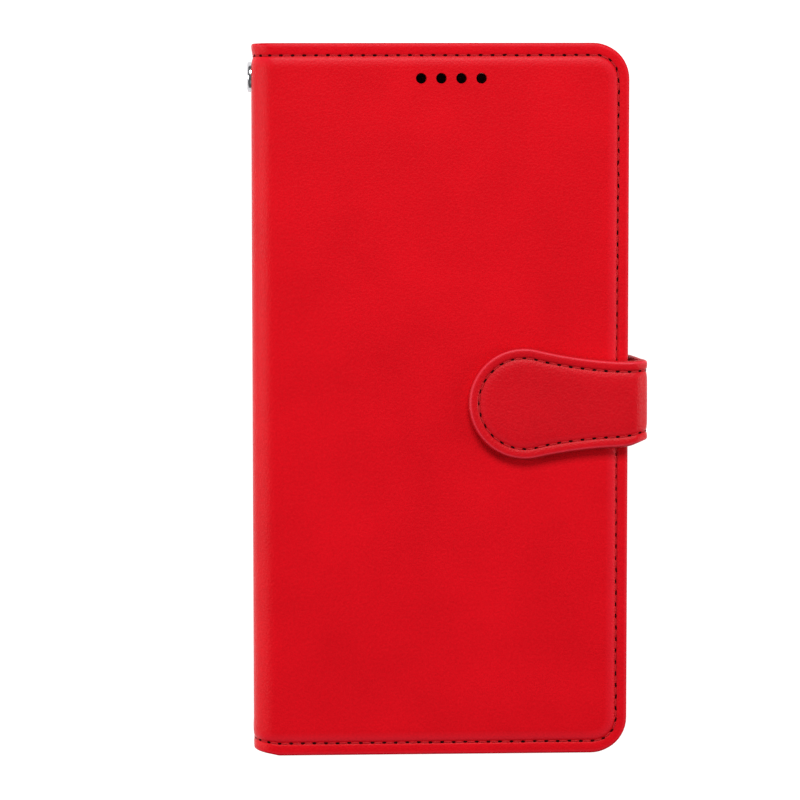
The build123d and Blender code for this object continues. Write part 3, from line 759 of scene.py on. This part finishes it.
def strapSeams():
    inset = strapMake["seam"] * mm
    neck = halfNeck - inset
    sweepAt = tabS + sweepS
    rest = sEdge - sweepAt
    upper = strapY + halfNeck + flareR
    lower = strapY - halfNeck - flareR
    runs = [lineRun(sEdge, strapY + neck, sweepAt, strapY + neck),
            arcRun(sweepAt, upper, flareR + inset, -math.pi / 2, meets - math.pi / 2),
            arcRun(tabS, strapY, tabS - inset, meets, 2 * math.pi - 2 * meets),
            arcRun(sweepAt, lower, flareR + inset, math.pi - meets, meets - math.pi / 2),
            lineRun(sweepAt, strapY - neck, sweepAt + rest, strapY - neck)]
    stops = stitchStops(runs, strapMake["pitch"] * mm)

    def place(co):
        return strapPoint(co.x, co.y, co.z)
    for front in (True, False):
        mine = [s for s in stops if (s[0] < sSide + sideLength / 2) == front]
        for layer, heights in (("Outer", (-0.31 * mm, -0.33 * mm)), ("Inner", (-1.43 * mm, -1.42 * mm))):
            name = ("strapFront" if front else "strapSide") + layer
            made = stitches(name, mine, strapMake["pitch"] * mm, heights, place, redThread, needleHoleShade)
            for piece in made:
                blendStrap(piece, front)
            if layer == "Outer":
                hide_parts("strap_tab_thread" if front else "strap_side_thread")


strapSeams()
print("strap made")

# ---------- pockets

pocketMake = {
    "corner": 2.0, "seam": 1.6, "pitch": 2.98,
    "under": [(0.05, -0.42), (0.15, -0.52), (0.4, -0.58), (0.9, -0.60)],
    "over": [(0.08, -0.08), (0.2, 0.0), (0.8, 0.0)],
    "middle": -0.25,
}


def pocketSheet(name, node, radii, top=None):
    low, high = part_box(node)
    upper = high.z if top is None else top

    def outline(bm, z):
        return roundedFace(bm, (low.x, low.y), (high.x, high.y), z, [r * mm for r in radii], 8)
    bm = slab(outline, pocketMake["middle"], pocketMake["over"], pocketMake["under"])
    moveVerts(bm, lambda co: Vector((co.x, co.y, upper + co.z)))
    piece = newPiece(name, bm, innerLeather)
    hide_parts(node)
    return piece


cashPocket = pocketSheet("cashPocket", "cash_pocket", (0, 7.7, 7.7, 0))
cutWith(cashPocket, holeCutter(liningLow.z - 2 * mm, liningHigh.z))
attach(cashPocket, "front_cover")
cardNodes = sorted(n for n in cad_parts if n.startswith("card_pocket_"))
for number, node in enumerate(cardNodes):
    radius = pocketMake["corner"]
    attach(pocketSheet(f"cardPocket{number + 1}", node, (0, radius, radius, 0)), "front_cover")


def pocketSeams():
    def flat(co):
        return co.copy()
    pitch = pocketMake["pitch"] * mm
    seam = pocketMake["seam"] * mm
    made = []
    for number, node in enumerate(cardNodes):
        low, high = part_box(node)
        level = low.z
        left = low.x + seam  # a row along each mouth
        mouth = [lineRun(left, low.y + 2 * seam, left, high.y - 2 * seam)]
        if number == len(cardNodes) - 1:
            corner = (pocketMake["corner"] - 0.6) * mm
            runs = [lineRun(low.x, low.y + seam, high.x - seam - corner, low.y + seam),
                    arcRun(high.x - seam - corner, low.y + seam + corner, corner, -math.pi / 2, math.pi / 2),
                    lineRun(high.x - seam, low.y + seam + corner, high.x - seam, high.y - seam - corner),
                    arcRun(high.x - seam - corner, high.y - seam - corner, corner, 0, math.pi / 2),
                    lineRun(high.x - seam - corner, high.y - seam, low.x, high.y - seam)]
            stops = stitchStops(runs, pitch)
            made.append(stitches("pocketEdge", stops, pitch, (level + 0.02 * mm, level + 0.01 * mm), flat,
                                 redThread, needleHoleShade))
        stops = stitchStops(mouth, pitch)
        made.append(stitches(f"pocketMouth{number + 1}", stops, pitch, (level + 0.02 * mm, level + 0.01 * mm),
                             flat, redThread, needleHoleShade))
        if number < len(cardNodes) - 1:
            # the steps' ends are sewn too, above and below the next pocket's mouth
            nextLow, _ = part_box(cardNodes[number + 1])
            for y in (low.y + seam, high.y - seam):
                stops = stitchStops([lineRun(low.x, y, nextLow.x - 0.5 * pitch, y)], pitch)
                made.append(stitches(f"pocketStep{number + 1}{'a' if y < 0 else 'b'}", stops, pitch,
                                     (level + 0.02 * mm, level + 0.01 * mm), flat, redThread, needleHoleShade))
    for pair in made:
        for piece in pair:
            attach(piece, "front_cover")
    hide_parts("pocket_seam_thread")


pocketSeams()
print("pockets made")

# ---------- eyelet

eyeletMake = {"bore": 2.0, "flange": 3.7, "dome": 1.0, "barrel": 2.34, "inner": 3.1}
eyeletLow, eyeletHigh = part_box("eyelet")
eyeletY = (eyeletLow.y + eyeletHigh.y) / 2


def turned(name, outline, surface, steps=48):
    # a ring turned about the eyelet's axis from its (along, radius) outline
    bm = bmesh.new()
    verts = [bm.verts.new((spineX + x * mm, eyeletY + r * mm, midZ)) for x, r in outline]
    edges = [bm.edges.new((verts[k], verts[(k + 1) % len(verts)])) for k in range(len(verts))]
    bmesh.ops.spin(bm, geom=verts + edges, cent=(spineX, eyeletY, midZ), axis=(1, 0, 0),
                   angle=2 * math.pi, steps=steps, use_merge=True)
    bmesh.ops.remove_doubles(bm, verts=bm.verts[:], dist=1e-7)
    return newPiece(name, bm, surface, 50)


def eyeletOutline():
    bore, flange, dome = eyeletMake["bore"], eyeletMake["flange"], eyeletMake["dome"]
    middle = (bore + flange) / 2
    half = (flange - bore) / 2
    points = []
    for k in range(13):  # the rolled flange, from its outer edge round to the bore
        a = math.pi * k / 12
        points.append((-dome * math.sin(a) ** 0.4, middle + half * math.cos(a)))
    curl = [(eyeletMake["inner"] - 0.30 + 0.30 * math.sin(math.pi * k / 6),
             bore + 0.32 - 0.32 * math.cos(math.pi * k / 6)) for k in range(7)]
    return points + curl + [(2.4, eyeletMake["barrel"]), (0.0, eyeletMake["barrel"])]


eyelet = turned("eyeletRing", eyeletOutline(), brightNickel)
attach(eyelet, "spine")
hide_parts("eyelet")
print("eyelet made")

# ---------- carried-over parts

finishes = {
    shellBlack: ["phone_shell"],
    pressedBoard: ["back_board", "front_board", "spine_board", "strap_core"],
    clearFilm: ["shell_adhesive"],
    plainSteel: ["clasp_plate", "strap_magnet"],
    brightNickel: ["eyelet_washer"],
    strapLeather: ["strap_tongue"],
}
for surface, nodes in finishes.items():
    for node in nodes:
        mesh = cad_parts[node].data
        mesh.materials.clear()
        mesh.materials.append(surface)

# ---------- floor, light and camera

stageMake = {"floor": 1.6, "floorDrop": 36.0, "floorGlow": 0.92, "world": 0.13, "backdrop": 0.96}
lightMake = {  # place, aimed at, size and power
    "keyLight": ((-0.02, 0.85, 0.98), (0, 0, 0), (0.75, 0.45), 13.6),
    "leftLight": ((-0.75, 0.05, 0.30), (0, 0, 0.01), (0.25, 0.7), 3.1),
    "rightLight": ((0.75, 0.0, 0.28), (0, 0, 0.01), (0.25, 0.6), 2.8),
    "frontLight": ((0.0, -0.55, 0.75), (0, 0, 0), (0.6, 0.4), 0.25),
}


def makeStage():
    # the floor is low enough for the cover to fold right round behind the case
    bm = bmesh.new()
    bmesh.ops.create_grid(bm, x_segments=1, y_segments=1, size=stageMake["floor"])
    bmesh.ops.translate(bm, verts=bm.verts[:], vec=(0, 0, -stageMake["floorDrop"] * mm))
    newPiece("floor", bm, floorMaterial())


def floorMaterial():
    # pale from above, and clear from below so that the back can be looked at
    made, tree, shader, spot = material("paleFloor")
    shader.inputs["Base Color"].default_value = (0.30, 0.30, 0.30, 1)
    shader.inputs["Roughness"].default_value = 0.9
    shader.inputs["Specular IOR Level"].default_value = 0.0
    shader.inputs["Emission Color"].default_value = (1, 1, 1, 1)
    shader.inputs["Emission Strength"].default_value = stageMake["floorGlow"]
    clear = tree.nodes.new("ShaderNodeBsdfTransparent")
    facing = tree.nodes.new("ShaderNodeNewGeometry")
    either = tree.nodes.new("ShaderNodeMixShader")
    tree.links.new(facing.outputs["Backfacing"], either.inputs[0])
    tree.links.new(shader.outputs[0], either.inputs[1])
    tree.links.new(clear.outputs[0], either.inputs[2])
    tree.links.new(either.outputs[0], tree.nodes["Material Output"].inputs["Surface"])
    return made


def makeWorld():
    # a dim even light, seen as a pale backdrop
    world = bpy.data.worlds.new("studio")
    bpy.context.scene.world = world
    world.use_nodes = True
    tree = world.node_tree
    seen = tree.nodes.new("ShaderNodeLightPath")
    power = tree.nodes.new("ShaderNodeMapRange")
    power.inputs["To Min"].default_value = stageMake["world"]
    power.inputs["To Max"].default_value = stageMake["backdrop"]
    tree.links.new(seen.outputs["Is Camera Ray"], power.inputs["Value"])
    tree.nodes["Background"].inputs["Color"].default_value = (1, 1, 1, 1)
    tree.links.new(power.outputs[0], tree.nodes["Background"].inputs["Strength"])


def softLight(name, place, target, size, power):
    data = bpy.data.lights.new(name, "AREA")
    data.shape = "RECTANGLE"
    data.size, data.size_y = size
    data.energy = power
    light = bpy.data.objects.new(name, data)
    bpy.context.scene.collection.objects.link(light)
    light.location = place
    light.rotation_euler = (Vector(target) - Vector(place)).to_track_quat("-Z", "Y").to_euler()


makeStage()
for lightName, values in lightMake.items():
    softLight(lightName, *values)
makeWorld()

cameraMake = {"place": (-0.0555, 0.0524, 0.9105), "turn": (-0.05827, -0.0493, -0.0025), "focal": 3754.0}
cameraData = bpy.data.cameras.new("camera")
camera = bpy.data.objects.new("camera", cameraData)
bpy.context.scene.collection.objects.link(camera)
camera.location = cameraMake["place"]
camera.rotation_euler = cameraMake["turn"]
cameraData.sensor_width = 36.0
cameraData.lens = cameraMake["focal"] * 36.0 / 800
cameraData.clip_start = 0.01
bpy.context.scene.camera = camera
bpy.context.scene.view_settings.view_transform = "Standard"
print("stage set")

bpy.context.view_layer.update()
